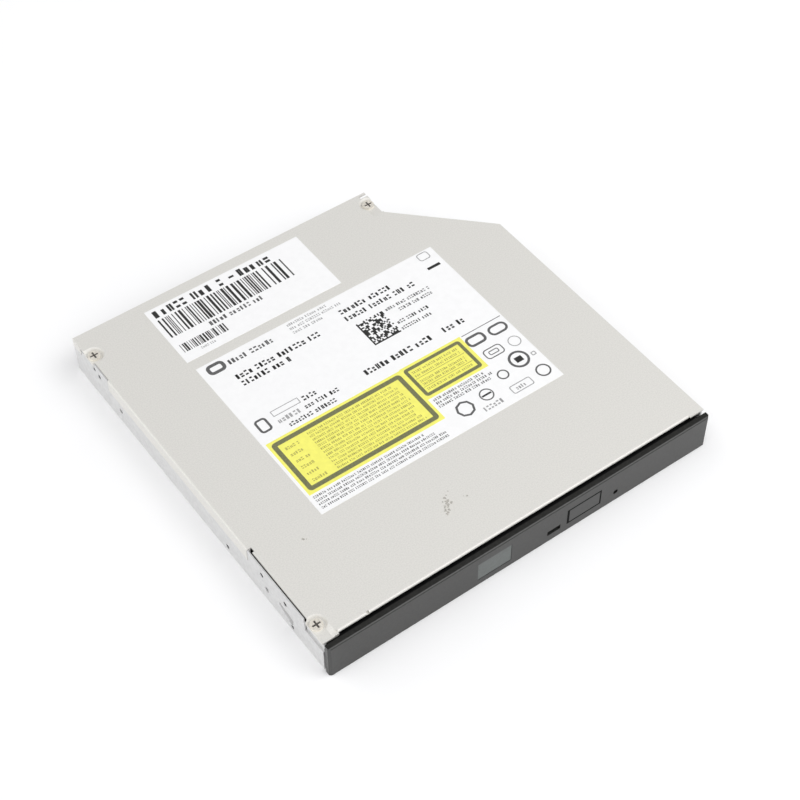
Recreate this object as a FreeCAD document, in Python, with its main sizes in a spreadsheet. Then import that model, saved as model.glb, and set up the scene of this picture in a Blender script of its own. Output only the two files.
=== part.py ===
import FreeCAD, Part
import math
import os
import Sketcher

# Slim internal disc writer with a tray that slides out at the front.
# X runs to the right seen from the front, Y to the rear and Z up.
# The tray front lies at the smallest Y and the base sheet lies on Z = 0.
# Sketches count from the front left lower corner of the drive, in millimetres.

document = FreeCAD.newDocument("internal_dvd_writer")
sheet = document.addObject("Spreadsheet::Sheet", "sizes")

SIZES = [
    ("drive_width", 128.0),
    ("drive_height", 12.7),
    ("case_depth", 127.2),
    ("bezel_thickness", 1.9),
    ("mouth_gap", 0.9),
    ("cover_sheet", 0.5),
    ("base_sheet", 0.6),
    ("wall_inset", 0.55),
    ("wall_height", 12.1),
    ("cut_width", 25.2),
    ("cut_length", 36.0),
    ("flange_height", 4.4),
    ("skirt_height", 3.0),
    ("step_width", 13.6),
    ("step_height", 4.0),
    ("ear_drop", 0.8),
    ("ear_width", 4.6),
    ("fold_bevel", 0.35),
    ("hem_setback", 0.4),
    ("side_hole_radius", 0.85),
    ("side_hole_height", 4.9),
    ("side_hole_front", 28.9),
    ("side_hole_pitch", 75.3),
    ("screw_head_radius", 1.8),
    ("screw_head_height", 0.7),
    ("screw_shank_radius", 0.95),
    ("label_thickness", 0.06),
    ("rail_low", 6.0),
    ("rail_height", 3.6),
    ("rail_sheet", 0.4),
    ("rail_start", 5.5),
    ("running_gap", 0.1),
    ("tray_left", 4.5),
    ("deck_low", 7.7),
    ("deck_top", 10.4),
    ("recess_floor", 8.7),
    ("recess_radius", 60.8),
    ("tub_wall", 1.2),
    ("plate_low", 1.0),
    ("plate_sheet", 0.4),
    ("spindle_inset", 64.0),
    ("rotor_radius", 13.5),
    ("rotor_top", 9.0),
    ("hub_radius", 7.4),
    ("hub_top", 11.2),
    ("shaft_radius", 1.5),
    ("rod_radius", 1.0),
    ("rod_height", 5.0),
    ("rod_offset", 16.5),
    ("screw_offset", 20.8),
    ("lead_radius", 1.2),
    ("lens_start", 24.5),
    ("bezel_height", 12.3),
    ("button_inset", 50.2),
    ("button_width", 11.2),
    ("button_low", 3.3),
    ("button_height", 5.5),
    ("eject_hole_inset", 33.4),
    ("eject_hole_up", 4.0),
    ("eject_hole_radius", 0.8),
    ("lamp_inset", 57.3),
    ("lamp_width", 4.5),
]


class Size:
    """A length that carries its number and its formula over the sheet of sizes."""

    def __init__(self, value, text):
        self.value = float(value)
        self.text = text

    def __add__(self, other):
        other = as_size(other)
        return Size(self.value + other.value, "(%s + %s)" % (self.text, other.text))

    def __sub__(self, other):
        other = as_size(other)
        return Size(self.value - other.value, "(%s - %s)" % (self.text, other.text))

    def __rsub__(self, other):
        return as_size(other) - self

    def __mul__(self, factor):
        return Size(self.value * factor, "(%s * %.6f)" % (self.text, factor))

    __radd__ = __add__


def as_size(value):
    """A plain number is wrapped; a size passes through."""
    if isinstance(value, Size):
        return value
    return Size(value, "%.5f" % value)


def least(first, second):
    """The smaller of two sizes."""
    value = min(first.value, second.value)
    return Size(value, "min(%s; %s)" % (first.text, second.text))


size = {}
for row, (alias, number) in enumerate(SIZES, 1):
    sheet.set("A%d" % row, alias)
    sheet.set("B%d" % row, "%g" % number)
    sheet.setAlias("B%d" % row, alias)
    size[alias] = Size(number, "sizes.%s" % alias)
document.recompute()

width = size["drive_width"]
top = size["drive_height"]
front = size["bezel_thickness"] + size["mouth_gap"]
depth = front + size["case_depth"]
under_cover = top - size["cover_sheet"]
spindle_x = width * 0.5
spindle_y = depth - size["spindle_inset"]
cut_start = depth - size["cut_length"]
slant_end = cut_start + size["cut_width"]
short_edge = width - size["cut_width"]
ear_top = top - size["ear_drop"]
ear_low = ear_top - size["cover_sheet"]
ear = size["ear_width"]
ear_rear = front + 8.2
flange_near = front + 35.0
flange_far = depth - 20.0
wall_inner = size["wall_inset"] + 0.6
HALF_ROOT = 0.707107
DIAGONAL = 1.414214
SHIFT = 40.0


def rect(x0, y0, x1, y1):
    """A rectangle between two corners."""
    return ("lines", [(x0, y0), (x1, y0), (x1, y1), (x0, y1)])


def lines(corners):
    """A closed run of straight lines."""
    return ("lines", corners)


def circle(x, y, radius):
    """A circle about one centre."""
    return ("circle", x, y, radius)


def octagon(x, y, radius):
    """A small eight-sided hole or plate about one centre."""
    turns = [math.radians(22.5 + 45.0 * k) for k in range(8)]
    return ("lines", [(x + radius * math.cos(t), y + radius * math.sin(t)) for t in turns])


def tie(sketch, index, point, x, y):
    """Holds one point of a sketch at a size along each axis."""
    for kind, axis, value in (("DistanceX", -2, as_size(x)), ("DistanceY", -1, as_size(y))):
        if value.value == 0.0:
            sketch.addConstraint(Sketcher.Constraint("PointOnObject", index, point, axis))
        else:
            where = sketch.addConstraint(
                Sketcher.Constraint(kind, -1, 1, index, point, value.value))
            if "sizes." in value.text:
                sketch.setExpression("Constraints[%d]" % where, value.text)


def draw(sketch, loops):
    """Draws each loop and ties its corners or its centre and radius."""
    for loop in loops:
        if loop[0] == "circle":
            x, y, radius = [as_size(value) for value in loop[1:]]
            centre = FreeCAD.Vector(x.value, y.value, 0)
            ring = Part.Circle(centre, FreeCAD.Vector(0, 0, 1), radius.value)
            index = sketch.addGeometry(ring)
            tie(sketch, index, 3, x, y)
            where = sketch.addConstraint(Sketcher.Constraint("Radius", index, radius.value))
            if "sizes." in radius.text:
                sketch.setExpression("Constraints[%d]" % where, radius.text)
            continue
        corners = [(as_size(x), as_size(y)) for x, y in loop[1]]
        points = [FreeCAD.Vector(x.value, y.value, 0) for x, y in corners]
        count = len(points)
        first = sketch.GeometryCount
        sides = [Part.LineSegment(points[k], points[(k + 1) % count]) for k in range(count)]
        sketch.addGeometry(sides, False)
        joined = [
            Sketcher.Constraint("Coincident", first + k, 2, first + (k + 1) % count, 1)
            for k in range(count)
        ]
        sketch.addConstraint(joined)
        for k, (x, y) in enumerate(corners):
            tie(sketch, first + k, 1, x, y)


pieces = []


class Piece:
    """One body, built from sketches on its own origin planes."""

    def __init__(self, label, turn=None):
        self.label = label
        self.body = document.addObject("PartDesign::Body", label)
        self.body.Label = label
        self.count = 0
        if turn is None:
            base_x = width * -0.5
            base_y = depth * -0.5
            angle = 0.0
        else:
            angle = turn
            across = math.cos(math.radians(turn))
            along = math.sin(math.radians(turn))
            base_x = width * -0.5 + spindle_x + SHIFT * (along - across)
            base_y = depth * -0.5 + spindle_y - SHIFT * (along + across)
        self.body.Placement = FreeCAD.Placement(
            FreeCAD.Vector(base_x.value, base_y.value, 0),
            FreeCAD.Rotation(FreeCAD.Vector(0, 0, 1), angle))
        self.body.setExpression("Placement.Base.x", base_x.text)
        self.body.setExpression("Placement.Base.y", base_y.text)
        pieces.append(self)

    def feature(self, kind, plane, loops, start, length, lean=0.0):
        """A sketch on one origin plane, then a pad or a pocket of it with upright or leaning sides."""
        self.count += 1
        name = "%s_%d" % (self.label, self.count)
        sketch = self.body.newObject("Sketcher::SketchObject", name + "_sketch")
        role = plane + "_Plane"
        support = [part for part in self.body.Origin.OriginFeatures if part.Role == role][0]
        sketch.AttachmentSupport = (support, [""])
        sketch.MapMode = "FlatFace"
        sketch.AttachmentOffset = FreeCAD.Placement(
            FreeCAD.Vector(0, 0, start.value), FreeCAD.Rotation())
        if "sizes." in start.text:
            sketch.setExpression("AttachmentOffset.Base.z", start.text)
        draw(sketch, loops)
        solid = self.body.newObject("PartDesign::" + kind, name)
        solid.Profile = sketch
        solid.Length = length.value
        if "sizes." in length.text:
            solid.setExpression("Length", length.text)
        if lean:
            solid.TaperAngle = lean
        self.body.Tip = solid
        return self

    def pad(self, plane, loops, low, high):
        """Adds material between two distances from the plane."""
        low = as_size(low)
        high = as_size(high)
        start = high * -1.0 if plane == "XZ" else low
        return self.feature("Pad", plane, loops, start, high - low)

    def cut(self, plane, loops, low, high, lean=0.0):
        """Takes material away between two distances from the plane."""
        low = as_size(low)
        high = as_size(high)
        start = low * -1.0 if plane == "XZ" else high
        return self.feature("Pocket", plane, loops, start, high - low, lean)


def outline(inset, near):
    """The drive seen from above, drawn in all round, with its slanting rear corner."""
    slant = inset * 0.414214
    return [
        (inset, near),
        (width - inset, near),
        (width - inset, cut_start - slant),
        (short_edge - inset, slant_end - slant),
        (short_edge - inset, depth - inset),
        (inset, depth - inset),
    ]


# Base tray of folded sheet: floor, walls, raised right side, tabs for the cover screws.
wall_in = size["wall_inset"]
step_edge = width - size["step_width"]
step_inner = step_edge - 0.6
step_top = size["step_height"] + size["base_sheet"]
mouth = front - 1.0
case = Piece("bottom_case")
case.pad("XY", [lines(outline(wall_in, front))], 0.0, size["wall_height"])
case.cut("XY", [lines(outline(wall_inner, mouth))], step_top, size["wall_height"] + 0.1)
slant_line = width + cut_start - wall_inner * DIAGONAL
floor_edge = [
    (wall_inner, mouth),
    (step_inner, mouth),
    (step_inner, slant_line - step_inner),
    (short_edge - wall_inner, slant_end - wall_inner * 0.414214),
    (short_edge - wall_inner, depth - wall_inner),
    (wall_inner, depth - wall_inner),
]
case.cut("XY", [lines(floor_edge)], size["base_sheet"], step_top + 0.1)
case.cut("XY", [rect(step_edge, mouth, width + 1.0, depth)], -0.1, size["step_height"])
shelf = top - size["flange_height"] - 0.2
case.pad("XY", [rect(0.05, front, 0.8, depth - 0.05)], 0.0, shelf)
rear_shelf = top - size["skirt_height"] - 0.1
case.pad("XY", [rect(0.05, depth - 0.8, short_edge - wall_in, depth - 0.05)], 0.0, rear_shelf)
case.pad("XY", [rect(0.05, depth - 4.7, 0.8, depth - 0.05)], shelf - 0.1, rear_shelf)
RAISED = [(ear_rear, flange_near - 0.2), (flange_far + 0.2, depth - 12.2)]
for near, far in RAISED:
    case.cut("XY", [rect(0.3, near, wall_inner + 0.1, far)], shelf, top)
    case.pad("XY", [rect(0.05, near, 0.4, far)], shelf - 0.2, top - 0.1)
tab_top = ear_low - 0.05
case.pad("XY", [rect(0.05, depth - 12.3, 0.8, depth - 4.7)], shelf - 0.1, tab_top)
SCREWS = {
    "front_left": (as_size(1.9), front + 5.4),
    "rear_left": (as_size(1.9), depth - 9.2),
    "rear_right": (short_edge - 2.0, depth - 5.0),
}
EARS = {
    "front_left": (-1.0, mouth, ear + 0.9, ear_rear + 0.4),
    "rear_left": (-1.0, depth - 12.2, ear + 0.9, depth - 6.0),
    "rear_right": (short_edge - 5.2, slant_end + 0.2, short_edge + 1.0, depth - 2.0),
}
TABS = {
    "front_left": (wall_in, front + 1.9, ear - 0.4, ear_rear - 0.2),
    "rear_left": (wall_in, depth - 12.3, ear - 0.4, depth - 6.6),
    "rear_right": (short_edge - 4.2, depth - 9.0, short_edge - wall_in, depth - 2.6),
}
for place, (x, y) in SCREWS.items():
    case.cut("XY", [rect(*EARS[place])], tab_top, top)
    case.pad("XY", [rect(*TABS[place])], tab_top - 0.55, tab_top)
    case.cut("XY", [circle(x, y, size["screw_shank_radius"] + 0.05)], tab_top - 1.5, tab_top + 0.1)
corner_low = top - 4.0
case.cut("XY", [rect(short_edge - 3.6, depth - 1.8, short_edge, depth)], corner_low, top)
socket_rear = depth - 2.0
case.cut("XZ", [rect(13.8, 0.9, 50.2, 8.0)], socket_rear, depth)
for across in (60.0, short_edge - 7.8):
    case.cut("XZ", [circle(across, 5.0, size["side_hole_radius"])], socket_rear, depth)
side_rear = size["side_hole_front"] + size["side_hole_pitch"]
LEFT_HOLES = [
    (depth - 12.1, 10.4, 0.7),
    (depth - 14.7, 9.4, 0.8),
    (48.4, 2.2, 0.8),
    (31.0, 9.1, 0.8),
    (20.1, 8.8, 0.8),
    (17.2, 1.7, 0.7),
]
left_loops = [octagon(*hole) for hole in LEFT_HOLES]
for y in (size["side_hole_front"], side_rear):
    left_loops.append(circle(y, size["side_hole_height"], size["side_hole_radius"]))
case.cut("YZ", left_loops, -0.2, wall_inner + 0.1)
slot = [(17.6, 2.4), (23.0, 5.3), (23.0, 6.5), (16.6, 5.3), (16.6, 3.4)]
case.cut("YZ", [lines(slot)], -0.2, 0.75)
right_rear = cut_start - 10.0
right_loops = [circle(y, 5.6, size["side_hole_radius"]) for y in (size["side_hole_front"], right_rear)]
case.cut("YZ", right_loops, width - wall_inner - 0.1, width)
post_x = spindle_x + 11.0
case.pad("XY", [rect(post_x - 1.0, depth - 9.0, post_x + 1.0, depth - 7.0)], size["base_sheet"] - 0.1, 6.5)
for x, y in ((5.0, spindle_y), (5.0, depth - 7.0), (30.0, depth - 18.0)):
    case.pad("XY", [rect(x - 1.4, y - 1.4, x + 1.4, y + 1.4)], size["base_sheet"] - 0.1, 1.0)
swage_left = spindle_x - 44.0
swage_right = spindle_x + 34.0
for y in (spindle_y - 40.0, spindle_y + 34.0, depth - 12.0):
    case.cut("XY", [rect(swage_left, y, swage_right, y + 3.0)], -0.1, 0.2)

# Top cover of pressed sheet: folded skirts, rolled front edge, lowered ears.
hem = front + size["hem_setback"]
hem_right = width - 4.8
fold = size["cover_sheet"]
hem_left = ear + fold
cover = Piece("top_cover")
plate = [
    (hem_left, hem + 0.6),
    (hem_right, hem + 0.6),
    (hem_right, front),
    (width, front),
    (width, cut_start),
    (short_edge, slant_end),
    (short_edge, depth),
    (0.0, depth),
    (0.0, depth - 12.0),
    (0.5, depth - 12.0),
    (0.5, flange_far),
    (0.0, flange_far),
    (0.0, flange_near),
    (1.5, flange_near),
    (1.5, flange_near - 1.6),
    (0.8, flange_near - 1.6),
    (0.8, hem + 0.6),
]
cover.pad("XY", [lines(plate)], under_cover, top)
long_low = top - size["flange_height"]
short_low = top - size["skirt_height"]
slant_in = fold * 0.414214
FLANGES = [
    (rect(0.0, flange_near, fold, flange_far), long_low),
    (rect(0.0, depth - 4.4, fold, depth), short_low + 0.1),
    (rect(0.0, depth - fold, short_edge, depth), short_low),
    (lines([
        (short_edge, slant_end),
        (short_edge, depth),
        (short_edge - fold, depth),
        (short_edge - fold, slant_end - slant_in),
    ]), short_low),
    (rect(width - fold, front + 2.0, width, cut_start), long_low),
    (lines([
        (width, cut_start),
        (short_edge, slant_end),
        (short_edge - fold, slant_end - slant_in),
        (width - fold, cut_start - slant_in),
    ]), short_low),
]
for shape, low in FLANGES:
    cover.pad("XY", [shape], low, top)
hem_profile = [
    (hem + 0.62, top),
    (hem + 0.42, top - 0.03),
    (hem + 0.2, top - 0.12),
    (hem + 0.06, top - 0.28),
    (hem, top - 0.45),
    (hem, top - 0.65),
    (hem + 0.08, top - 0.85),
    (hem + 0.26, top - 0.95),
    (hem + 0.6, top - 0.95),
    (hem + 0.8, top - 0.85),
    (hem + 0.8, top - 0.5),
    (hem + 1.2, top - 0.5),
    (hem + 1.2, top),
]
cover.pad("YZ", [lines(hem_profile)], hem_left, hem_right)
cover.cut("XY", [rect(14.0, front, 14.8, hem + 0.7)], top - 0.8, top + 0.1)
bevel = size["fold_bevel"]
fold_corner = [(-0.1, top - bevel - 0.1), (bevel + 0.1, top + 0.1), (-0.1, top + 0.1)]
cover.cut("XZ", [lines(fold_corner)], flange_near - 0.1, flange_far + 0.1)

# Each ear is a round pressed pocket with leaning sides that runs out to an open side.
LEAN = 38.0
RIMS = {
    "front_left": (0.0, front, ear + fold, front + 5.4),
    "rear_left": (0.0, depth - 11.55 - fold, 1.9, depth - 6.85 + fold),
    "rear_right": (short_edge - 3.2 - fold, slant_end + 1.1 - fold, short_edge, depth - 5.0),
}
EAR_FLOORS = [
    ("front_left", 2.4, 58.0, (-3.0, front - 3.0, 3.3, front + 4.4)),
    ("rear_left", 2.35, LEAN, (-3.0, depth - 11.55, 1.9, depth - 6.85)),
    ("rear_right", 2.2, LEAN, (short_edge - 3.2, slant_end + 1.1, short_edge + 3.0, depth - 5.0)),
]
for place, radius, lean, corners in EAR_FLOORS:
    x, y = SCREWS[place]
    left, near, right, far = corners
    spread = (size["ear_drop"] + 0.1) * math.tan(math.radians(LEAN))
    wide = (size["ear_drop"] + 0.1) * math.tan(math.radians(lean))
    mouth_loop = rect(left - wide, near - wide, right + wide, far + wide)
    cover.pad("XY", [circle(x, y, radius + fold)], ear_low, under_cover + 0.1)
    cover.pad("XY", [rect(*RIMS[place])], ear_low, under_cover + 0.1)
    cover.cut("XY", [circle(x, y, radius + spread)], ear_top, top + 0.1, -LEAN)
    cover.cut("XY", [mouth_loop], ear_top, top + 0.1, -lean)
cover.cut("XY", [rect(-3.0, front, 0.0, depth)], ear_low - 0.1, top + 0.1)
cover.cut("XY", [rect(short_edge, slant_end + 1.0, short_edge + 3.0, depth)], ear_low - 0.1, top + 0.1)
holes = [circle(x, y, 1.1) for x, y in SCREWS.values()]
cover.cut("XY", holes, ear_low - 0.1, ear_top + 0.1)
notch = rect(short_edge - 2.5, depth - 1.8, short_edge + 0.5, depth - 0.8)
cover.cut("XY", [notch], under_cover - 0.1, top + 0.1)
cover.cut("XY", [rect(short_edge - 3.6, depth - 1.8, short_edge + 0.5, depth + 0.5)], corner_low, under_cover)

# Cover screws with a crossed recess.
for place, (x, y) in SCREWS.items():
    screw = Piece("cover_screw_" + place)
    head_top = ear_top + size["screw_head_height"]
    screw.pad("XY", [circle(x, y, size["screw_head_radius"])], ear_top, head_top)
    screw.pad("XY", [circle(x, y, size["screw_shank_radius"])], tab_top - 1.3, ear_top + 0.1)
    screw.cut("XY", [rect(x - 1.25, y - 0.28, x + 1.25, y + 0.28)], head_top - 0.45, head_top + 0.1)
    screw.cut("XY", [rect(x - 0.28, y - 1.25, x + 0.28, y + 1.25)], head_top - 0.45, head_top + 0.1)

# Stickers on the cover.
label_top = top + size["label_thickness"]
small_sheet = rect(21.7, depth - 27.7, short_edge - 27.8, depth - 3.7)
Piece("small_label").pad("XY", [small_sheet], top, label_top)
main_right = width - 23.0
main_sheet = rect(22.3, depth - 94.4, main_right, depth - 31.3)
Piece("main_label").pad("XY", [main_sheet], top, label_top)
fields = [
    (23.2, depth - 87.4),
    (main_right - 36.5, depth - 87.4),
    (main_right - 36.5, depth - 79.3),
    (main_right - 15.1, depth - 79.3),
    (main_right - 15.1, depth - 65.6),
    (main_right - 36.5, depth - 65.6),
    (main_right - 36.5, depth - 65.9),
    (23.2, depth - 65.9),
]
Piece("label_fields").pad("XY", [lines(fields)], label_top, label_top + 0.02)


def channel(label, outer, reach, low, high, near, far, right_hand):
    """A rail of C section that opens towards the middle of the drive."""
    web = size["rail_sheet"]
    profile = [
        (outer, low),
        (reach, low),
        (reach, low + web),
        (outer + web, low + web),
        (outer + web, high - web),
        (reach, high - web),
        (reach, high),
        (outer, high),
    ]
    if right_hand:
        profile = [(width - x, z) for x, z in profile]
    return Piece(label).pad("XZ", [lines(profile)], near, far)


# Telescopic rails at both sides: fixed channel, then sliding channel within it.
gap = size["running_gap"]
web = size["rail_sheet"]
rail_low = size["rail_low"]
rail_top = rail_low + size["rail_height"]
slide_outer = wall_inner + web + gap
slide_low = rail_low + web + gap
slide_top = rail_top - web - gap
left_rail_end = depth - 12.0
right_rail_end = cut_start - 3.0
SIDES = [("left", left_rail_end, False), ("right", right_rail_end, True)]
for side, end, right_hand in SIDES:
    near = size["rail_start"]
    channel(side + "_fixed_rail", wall_inner, wall_inner + 2.2, rail_low, rail_top, near, end,
            right_hand)
    channel(side + "_slide_rail", slide_outer, slide_outer + 2.2, slide_low, slide_top, near, end,
            right_hand)

# Circuit board at the rear left with its chips, socket and rear connector.
board_top = as_size(1.8)
tray_left = size["tray_left"]
tub_inset = 12.0
tub_turn = spindle_y + 21.5
tub_corner = tub_turn - (spindle_x - tub_inset - tray_left)
board_front = tub_corner + 22.0
board_rear = depth - 2.4
board = Piece("main_board")
board_edge = [
    (2.0, board_front),
    (15.5, board_front),
    (15.5, depth - 26.0),
    (33.0, depth - 26.0),
    (33.0, depth - 16.0),
    (52.0, depth - 16.0),
    (52.0, board_rear),
    (2.0, board_rear),
]
board.pad("XY", [lines(board_edge)], 1.0, board_top)
for x, inset in ((13.0, 52.0), (13.0, 46.0), (11.5, 28.5), (45.0, 14.0), (38.0, 14.0)):
    y = depth - inset
    board.pad("XY", [rect(x, y, x + 2.4, y + 1.4)], board_top - 0.1, 2.6)
controller = Piece("main_controller")
controller.pad("XY", [rect(3.4, depth - 42.5, 14.4, depth - 31.5)], board_top, 3.2)
memory = Piece("memory_chip")
memory.pad("XY", [rect(4.6, board_front + 4.0, 12.6, board_front + 11.0)], board_top, 2.9)
socket = Piece("flex_socket")
socket.pad("XY", [rect(17.0, depth - 25.4, 32.4, depth - 21.0)], board_top, 3.0)
socket.cut("XZ", [rect(17.8, 2.0, 31.6, 2.35)], depth - 25.6, depth - 22.5)
tongue_rear = depth - 1.6
comb_front = depth - 8.9
plug = Piece("rear_connector")
plug.pad("XY", [rect(14.4, depth - 12.0, 49.6, depth - 0.3)], board_top, 7.3)
plug.cut("XZ", [rect(16.0, 3.3, 48.0, 6.5)], comb_front - 0.1, depth)
plug.pad("XZ", [rect(17.2, 4.2, 26.4, 5.2)], comb_front - 0.2, tongue_rear)
plug.pad("XZ", [rect(28.6, 4.2, 46.8, 5.2)], comb_front - 0.2, tongue_rear)
contacts = Piece("connector_contacts")
contacts.pad("XY", [rect(17.6, comb_front, 46.4, comb_front + 0.6)], 5.2, 5.34)
for k in range(7):
    x = 18.0 + 1.16 * k
    contacts.pad("XY", [rect(x, comb_front + 0.5, x + 0.6, tongue_rear - 0.8)], 5.2, 5.34)
for k in range(6):
    x = 29.6 + 2.86 * k
    contacts.pad("XY", [rect(x, comb_front + 0.5, x + 1.2, tongue_rear - 0.8)], 5.2, 5.34)

# Flat flexible cable: a flat loop between the board and the tray.
FLEX_LOW = 2.05
FLEX_HIGH = 7.3
FLEX_SHEET = 0.15
flex_bend = tub_corner + 38.0
middle = (FLEX_LOW + FLEX_HIGH) / 2.0
outer_bend = (FLEX_HIGH - FLEX_LOW) / 2.0
inner_bend = outer_bend - FLEX_SHEET
ribbon = [(depth - 23.0, FLEX_LOW)]
for k in range(13):
    turn = math.pi * k / 12.0
    ribbon.append((flex_bend - outer_bend * math.sin(turn), middle - outer_bend * math.cos(turn)))
ribbon.append((depth - 29.0, FLEX_HIGH))
ribbon.append((depth - 29.0, FLEX_HIGH - FLEX_SHEET))
for k in range(12, -1, -1):
    turn = math.pi * k / 12.0
    ribbon.append((flex_bend - inner_bend * math.sin(turn), middle - inner_bend * math.cos(turn)))
ribbon.append((depth - 23.0, FLEX_LOW + FLEX_SHEET))
Piece("flex_cable").pad("YZ", [lines(ribbon)], 18.2, 31.2)

# Disc tray: deck with a round recess, tub walls below, front wall, side tongues.
def in_plane(u, v):
    """A place on the sledge plane, counted out from the spindle towards the front left."""
    return (spindle_x - (u - v) * HALF_ROOT, spindle_y - (u + v) * HALF_ROOT)


tray_right = width - tray_left
tray_rear = depth - 5.5
deck_low = size["deck_low"]
deck_top = size["deck_top"]
plate_top = size["plate_low"] + size["plate_sheet"]
tray = Piece("disc_tray")
deck = [
    (tray_left, 4.0),
    (tray_right, 4.0),
    (tray_right, cut_start + 0.5),
    (tray_right + cut_start + 0.5 - tray_rear, tray_rear),
    (tray_left, tray_rear),
]
tray.pad("XY", [lines(deck)], deck_low, deck_top)
tub_right = step_inner - 0.8
tub_left = spindle_x - tub_inset
tub_rear = depth - 18.0
tub_outer = [
    (tray_left, 4.0),
    (tub_right, 4.0),
    (tub_right, tub_rear - 7.0),
    (tub_right - 7.0, tub_rear),
    (tub_left, tub_rear),
    (tub_left, tub_turn),
    (tray_left, tub_corner),
]
wall = size["tub_wall"]
mitre = wall * 0.414214
tub_inner = [
    (tray_left + wall, 5.6),
    (tub_right - wall, 5.6),
    (tub_right - wall, tub_rear - 7.0 - mitre),
    (tub_right - 7.0 - mitre, tub_rear - wall),
    (tub_left + wall, tub_rear - wall),
    (tub_left + wall, tub_turn - mitre),
    (tray_left + wall, tub_corner - mitre),
]
tray.pad("XY", [lines(tub_outer), lines(tub_inner)], plate_top, deck_low + 0.1)
recess = circle(spindle_x, spindle_y, size["recess_radius"])
tray.cut("XY", [recess], size["recess_floor"], deck_top + 0.1)
front_reach = (spindle_y - 10.14) * DIAGONAL - 13.0
side_reach = (spindle_x - 8.85) * DIAGONAL - 12.0
reach = least(front_reach, side_reach)
FRAME = [
    (-17.0, -22.0),
    (reach - 10.0, -22.0),
    (reach, -12.0),
    (reach, 13.0),
    (reach - 13.0, 26.0),
    (-17.0, 26.0),
]
HATCH = [
    (-17.5, -22.5),
    (reach - 9.8, -22.5),
    (reach + 0.5, -12.2),
    (reach + 0.5, 13.2),
    (reach - 12.8, 26.5),
    (-17.5, 26.5),
]
tray.cut("XY", [lines([in_plane(u, v) for u, v in HATCH])], deck_low - 0.1, deck_top + 0.1)
front_rear = front + 1.6
wall_top = 9.4
bezel_rear = size["bezel_thickness"]
tray.pad("XY", [rect(1.8, bezel_rear, width - 1.8, front_rear)], 5.0, wall_top)
tray.pad("XY", [rect(1.8, bezel_rear, tub_right, front_rear)], 1.0, 5.1)
tray.pad("XY", [rect(0.4, bezel_rear, width - 0.4, front - 0.12)], 0.5, wall_top)
tongue_outer = slide_outer + web + gap
tongue_low = slide_low + web + gap
tongue_top = slide_top - web - gap
left_tongue = rect(tongue_outer, tongue_low, 6.0, tongue_top)
right_tongue = rect(width - 6.0, tongue_low, width - tongue_outer, tongue_top)
tray.pad("XZ", [left_tongue], 4.0, left_rail_end)
tray.pad("XZ", [right_tongue], 4.0, right_rail_end)
button_left = width - size["button_inset"]
button_right = button_left + size["button_width"]
button_top = size["button_low"] + size["button_height"]
button_middle = button_left + size["button_width"] * 0.5
lamp_left = width - size["lamp_inset"]
lamp_right = lamp_left + size["lamp_width"]
hole_x = width - size["eject_hole_inset"]
eject_hole = circle(hole_x, size["eject_hole_up"], size["eject_hole_radius"] + 0.1)
front_openings = [
    rect(button_middle - 1.7, 3.9, button_middle + 1.7, 6.5),
    rect(lamp_left + 0.1, 3.0, lamp_right - 0.1, 4.6),
    eject_hole,
]
tray.cut("XZ", front_openings, bezel_rear - 0.1, 5.7)
tray.cut("XY", [octagon(spindle_x, tray_rear - 1.0, 9.2)], deck_low - 0.1, deck_top + 0.1)

bottom_plate = Piece("tray_bottom_plate")
plate_edge = [
    (tray_left, front_rear),
    (tub_right, front_rear),
] + tub_outer[2:]
bottom_plate.pad("XY", [lines(plate_edge)], size["plate_low"], plate_top)
vent_left = tub_right - 37.0
vent_right = tub_right - 13.0
vents = [octagon(20.0, 10.0, 1.6)]
vents.append(rect(vent_left, depth - 46.0, vent_right, depth - 42.0))
vents.append(rect(vent_left, depth - 38.0, vent_right, depth - 34.0))
bottom_plate.cut("XY", vents, size["plate_low"] - 0.1, plate_top + 0.1)

# Front bezel with its button opening, lamp slot and emergency hole.
bezel = Piece("bezel")
bezel_top = size["bezel_height"]
bezel_profile = [
    (0.0, 0.3),
    (0.3, 0.0),
    (bezel_rear, 0.0),
    (bezel_rear, bezel_top),
    (0.45, bezel_top),
    (0.18, bezel_top - 0.12),
    (0.0, bezel_top - 0.45),
]
bezel.pad("YZ", [lines(bezel_profile)], 0.0, width)
bezel.cut("XY", [lines([(0.0, 0.0), (0.7, 0.0), (0.0, 0.7)])], -0.1, bezel_top + 0.1)
bezel.cut("XY", [lines([(width, 0.0), (width, 0.7), (width - 0.7, 0.0)])], -0.1, bezel_top + 0.1)
bezel_openings = [
    rect(button_left, size["button_low"], button_right, button_top),
    rect(lamp_left, 2.95, lamp_right, 4.65),
    circle(hole_x, size["eject_hole_up"], size["eject_hole_radius"]),
]
bezel.cut("XZ", bezel_openings, -0.1, bezel_rear + 0.1)
bezel.cut("XZ", [rect(47.2, 2.4, 58.4, 9.3)], -0.1, 0.12)

button = Piece("eject_button")
wide_gap = 0.4
edge_gap = 0.22
face = rect(button_left + wide_gap, size["button_low"] + edge_gap,
            button_right - edge_gap, button_top - wide_gap)
button.pad("XZ", [face], 0.0, bezel_rear - 0.6)
button.pad("XZ", [rect(button_middle - 1.4, 4.2, button_middle + 1.4, 6.2)], 1.2, 5.7)

lamp = Piece("light_pipe")
lamp.pad("XZ", [rect(lamp_left + 0.2, 3.1, lamp_right - 0.5, 4.35)], 0.7, 6.6)

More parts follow.
